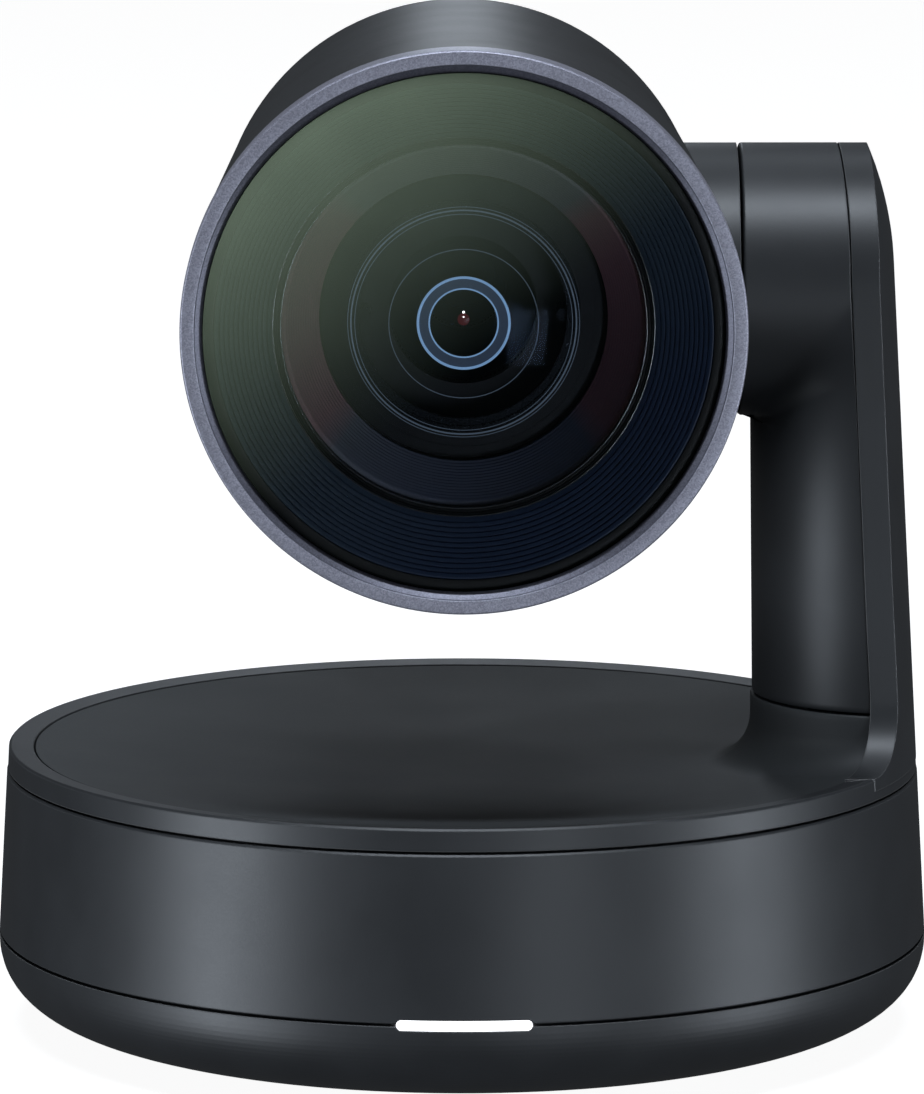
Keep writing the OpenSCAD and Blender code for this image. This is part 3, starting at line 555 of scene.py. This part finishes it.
def make_arm_cover(paint):
    """The arm's inner cover with its drum, in levels from the foot to the top."""
    low = FOOT_TOP + 0.2
    levels = [(low, 0.25), (low + 0.08, 0.1), (low + 0.25, 0.0)]
    levels += [(low + 1 + i * (99.5 - low) / 30, 0.0) for i in range(30)]
    bottom = TILT_Z - DRUM_R
    levels += [(bottom - 0.3, 0.0), (bottom + 0.001, 0.0)]
    levels += [(TILT_Z - DRUM_R * math.cos(math.radians(a)), 0.0) for a in range(4, 91, 2)]
    levels += [(TILT_Z + DRUM_R * math.sin(math.radians(a)), 0.0) for a in range(3, 91, 3)]
    across, round_seam = 80, 10
    points = []
    for z, inset in levels:
        radius = skin(z, SHELL_IN + SEAM_GAP)
        left = DRUM_FACE if z > bottom else arm_left(z) + inset
        seam = ARM_X
        for _ in range(8):
            seam = math.sqrt(radius ** 2 - arm_half_width(seam, z) ** 2)
        front = []
        for i in range(across + 1):
            x = left + (seam - left) * (i / across) ** 2
            front.append((x, -max(0.0, arm_half_width(x, z) - inset), z))
        turn = math.asin(front[-1][1] / radius)
        outer = [
            (radius * math.cos(turn * (1 - 2 * k / round_seam)),
             radius * math.sin(turn * (1 - 2 * k / round_seam)), z)
            for k in range(1, round_seam)
        ]
        points += front + outer + [(x, -y, z) for x, y, z in reversed(front)]
    size = 2 * (across + 1) + round_seam - 1
    faces = grid_faces(len(levels), size)
    faces.append(tuple(range(size)))
    dress(make_piece("arm_casing", points, faces), paint["slate_shell"], "yoke", "slate_shell",
          "arm_cover")


def dish_height(radius):
    return DISH_LOW + DISH_R - math.sqrt(DISH_R ** 2 - radius ** 2)


def make_deck_cover(paint):
    """The dished deck, flowing up into the arm's foot; drawn along rays from the arm's axis."""
    start = math.acos((DECK_R ** 2 - ARM_X ** 2 - ARM_R ** 2) / (2 * ARM_X * ARM_R)) + 1e-4
    rays, curve, flat = 200, 14, 30
    top = FOOT_TOP - SEAM_GAP
    points = []
    for i in range(rays + 1):
        turn = start + (2 * math.pi - 2 * start) * i / rays
        c, s = math.cos(turn), math.sin(turn)
        reach = -ARM_X * c + math.sqrt(max(0.0, DECK_R ** 2 - (ARM_X * s) ** 2)) - ARM_R

        def dish_at(d):
            return dish_height(min(DECK_R, math.hypot(ARM_X + (ARM_R + d) * c, (ARM_R + d) * s)))

        radius = min(FILLET - FILLET_LOSS * abs(s), top - 0.5 - dish_at(0))
        high = dish_at(0) + radius
        path = [(-FOOT_WALL, top), (-0.25, top), (-0.07, top - 0.07), (0.0, top - 0.25)]
        path += [(0.0, top - 0.25 + (high - top + 0.25) * k / 4) for k in range(1, 4)]
        steps = [radius * (1 - math.cos(math.pi / 2 * k / curve)) for k in range(curve + 1)]
        steps += [radius + (reach - radius) * k / flat for k in range(1, flat + 1)]
        for d in steps:
            d = min(d, reach)
            lift = radius - math.sqrt(radius ** 2 - (radius - d) ** 2) if d < radius else 0.0
            path.append((d, dish_at(d) + lift))
        path += [(reach, path[-1][1] - 0.2), (reach, path[-1][1] - 3)]
        path += [(max(reach - DECK_EDGE, -FOOT_WALL), DECK_UNDER), (-FOOT_WALL, DECK_UNDER)]
        for d, z in path:
            x, y = ARM_X + (ARM_R + d) * c, (ARM_R + d) * s
            share = min(1.0, skin(z, SHELL_IN + 0.2) / math.hypot(x, y))
            points.append((x * share, y * share, z))
        size = len(path)
    faces = grid_faces(rays + 1, size)
    faces.append(tuple(range(size)))
    faces.append(tuple(rays * size + k for k in reversed(range(size))))
    deck = make_piece("deck_top", points, faces, sharp=50)
    dress(deck, paint["slate_deck"], "yoke", "slate_deck", "deck_cover")


# ---------------------------------------------------------------- lens pieces

def lathe_piece(name, profile, corner, material, body, slot_name, *nodes, steps=3):
    ring = ring_round(name, rounded(profile, corner, steps), lens_point)
    dress(ring, material, body, slot_name, *nodes)


def bead(radius, depth, thick):
    """A round wire's section, thick in radius, at a radius from the lens axis."""
    turns = [2 * math.pi * k / 8 for k in range(8)]
    return [(radius + thick * math.cos(a), depth + thick * math.sin(a)) for a in turns]


def element_depth(radius, apex, curve):
    return apex + radius ** 2 / (2 * curve)


def make_front_element(paint):
    """The domed first lens, a closed meniscus with a blackened rim just behind it."""
    radii = [22.2 * k / 20 for k in range(21)]
    front = [(r, element_depth(r, 10.3, 44.0)) for r in radii]
    back = [(r, element_depth(r, 15.5, 55.0)) for r in reversed(radii)]
    glass = ring_round("front_dome", front + back, lens_point, sharp=60)
    dress(glass, paint["lens_glass"], "head", "lens_glass", "front_element")
    rim = [(22.28, 15.9), (22.28, 20.9), (22.24, 20.9), (22.24, 15.9)]
    dress(ring_round("front_dome_rim", rim, lens_point), paint["barrel_black"], "head",
          "black_plastic")


def make_lens(paint):
    """The bezel, the rings behind the glass, and small glowing rings that paint the reflections
    seen in the lenses, with a red dot and two painted glints at the centre.
    """
    bezel = [
        (43.4, 0), (43.65, 0.3), (43.65, 6.5), (43.5, 6.7), (40.9, 6.7), (40.9, 11), (40.2, 11),
        (40.2, 1.2), (41.35, 0.35), (41.5, 0),
    ]
    lathe_piece("bezel", bezel, 0.09, paint["bezel_metal"], "head", "bezel_metal", "bezel_ring")
    steps = 11
    step_r, step_d = (38.2 - 30.3) / steps, (7.6 - 2.2) / steps
    baffle = [(40.1, 10.5), (40.1, 1.95), (38.5, 1.95), (38.35, 2.25)]
    for i in range(steps):
        baffle += [
            (38.2 - i * step_r, 2.2 + i * step_d),
            (38.2 - (i + 0.74) * step_r, 2.2 + (i + 0.55) * step_d),
            (38.2 - (i + 0.86) * step_r, 2.2 + (i + 1.6) * step_d),
        ]
    baffle += [(30.3, 7.6), (29.5, 8.4), (29.5, 10.5)]
    lathe_piece("baffle", baffle, 0.06, paint["baffle"], "head", "black_plastic", "baffle_ring",
                steps=2)
    trim = [
        (28.2, 8.6), (28.45, 8.3), (28.7, 8.6), (28.85, 8.6), (29.1, 8.1), (29.4, 8.4),
        (29.4, 10.5), (28.2, 10.5),
    ]
    lathe_piece("trim", trim, 0.08, paint["barrel_black"], "head", "bright_metal", "trim_ring")
    for name, radius, depth in (("trim_line_outer", 29.5, 8.0), ("trim_line_inner", 28.3, 8.2)):
        dress(ring_round(name, bead(radius, depth, 0.07), lens_point, sharp=80),
              paint["bright_metal"], "head", "bright_metal")
    ribs = 14
    rib_r, rib_d = (27.6 - 22.5) / ribs, (19.5 - 10.6) / ribs
    hood = [(29.4, 21), (29.4, 10.6), (27.8, 10.6)]
    for i in range(ribs):
        hood += [
            (27.6 - i * rib_r, 10.6 + i * rib_d),
            (27.6 - (i + 0.85) * rib_r, 10.6 + (i + 0.5) * rib_d),
        ]
    hood += [(22.5, 19.5), (22.5, 21)]
    lathe_piece("hood", hood, 0.05, paint["hood"], "head", "black_plastic", "ribbed_hood", steps=2)
    # Painted reflections: glowing beads and a thin band where the lens elements' edges are
    # mirrored.
    for name, radius, depth, thick, look in (
        ("painted_reflection_ring_a", 17.5, 13.9, 0.12, "ring_blue"),
        ("painted_reflection_ring_b", 16.9, 13.9, 0.05, "ring_blue"),
        ("painted_reflection_ring_c", 18.0, 14.2, 0.05, "ring_blue"),
        ("painted_reflection_ring_d", 11.6, 12.4, 0.06, "ring_blue"),
        ("painted_reflection_ring_e", 7.1, 13.2, 0.2, "core_blue"),
        ("painted_reflection_ring_f", 5.35, 13.2, 0.12, "core_blue"),
    ):
        dress(ring_round(name, bead(radius, depth, thick), lens_point, count=160, sharp=80),
              paint[look], "head", "lens_glass")
    band = [(5.4, 13.5), (7.1, 13.5), (7.1, 13.6), (5.4, 13.6)]
    dress(ring_round("painted_reflection_band", band, lens_point, count=160), paint["band_blue"], "head",
          "lens_glass")
    for name, radius, height, depth, look in (
        # A dark red dot with a painted glow.
        ("pupil_dot", 0.95, 0.0, 17.5, "pupil_red"),
        # Two painted highlights: tiny glowing discs.
        ("glint_large", 0.2, 1.15, 17.3, "glint"),
        ("glint_small", 0.13, 0.4, 17.3, "glint"),
    ):
        dot = ring_round(
            name, [(0, 0), (radius * 0.8, 0.02), (radius, 0.1), (0, 0.12)],
            lambda r, d, turn: (r * math.cos(turn), BEZEL_Y + depth + d,
                                TILT_Z + height + r * math.sin(turn)),
            count=32,
        )
        dress(dot, paint[look], "head", "lens_glass")


def dress_all(paint):
    """Gives every CAD node that still shows its finish."""
    slots = {s["node"]: s["material_slot"] for s in frame["record"]["subparts"]}
    special = {
        "lens_barrel": "barrel_black", "zoom_carriage": "barrel_black",
        "focus_carriage": "barrel_black", "iris_ring": "barrel_black",
        "lens_retainer": "dark_metal", "guide_rods": "dark_metal",
    }
    for node, obj in frame["nodes"].items():
        obj.data.materials.clear()
        obj.data.materials.append(paint[special.get(node, slots[node])])


make_camera()
make_floor()
make_studio()
paint = make_materials()
dress_all(paint)
make_arm_cover(paint)
make_deck_cover(paint)
make_lens(paint)
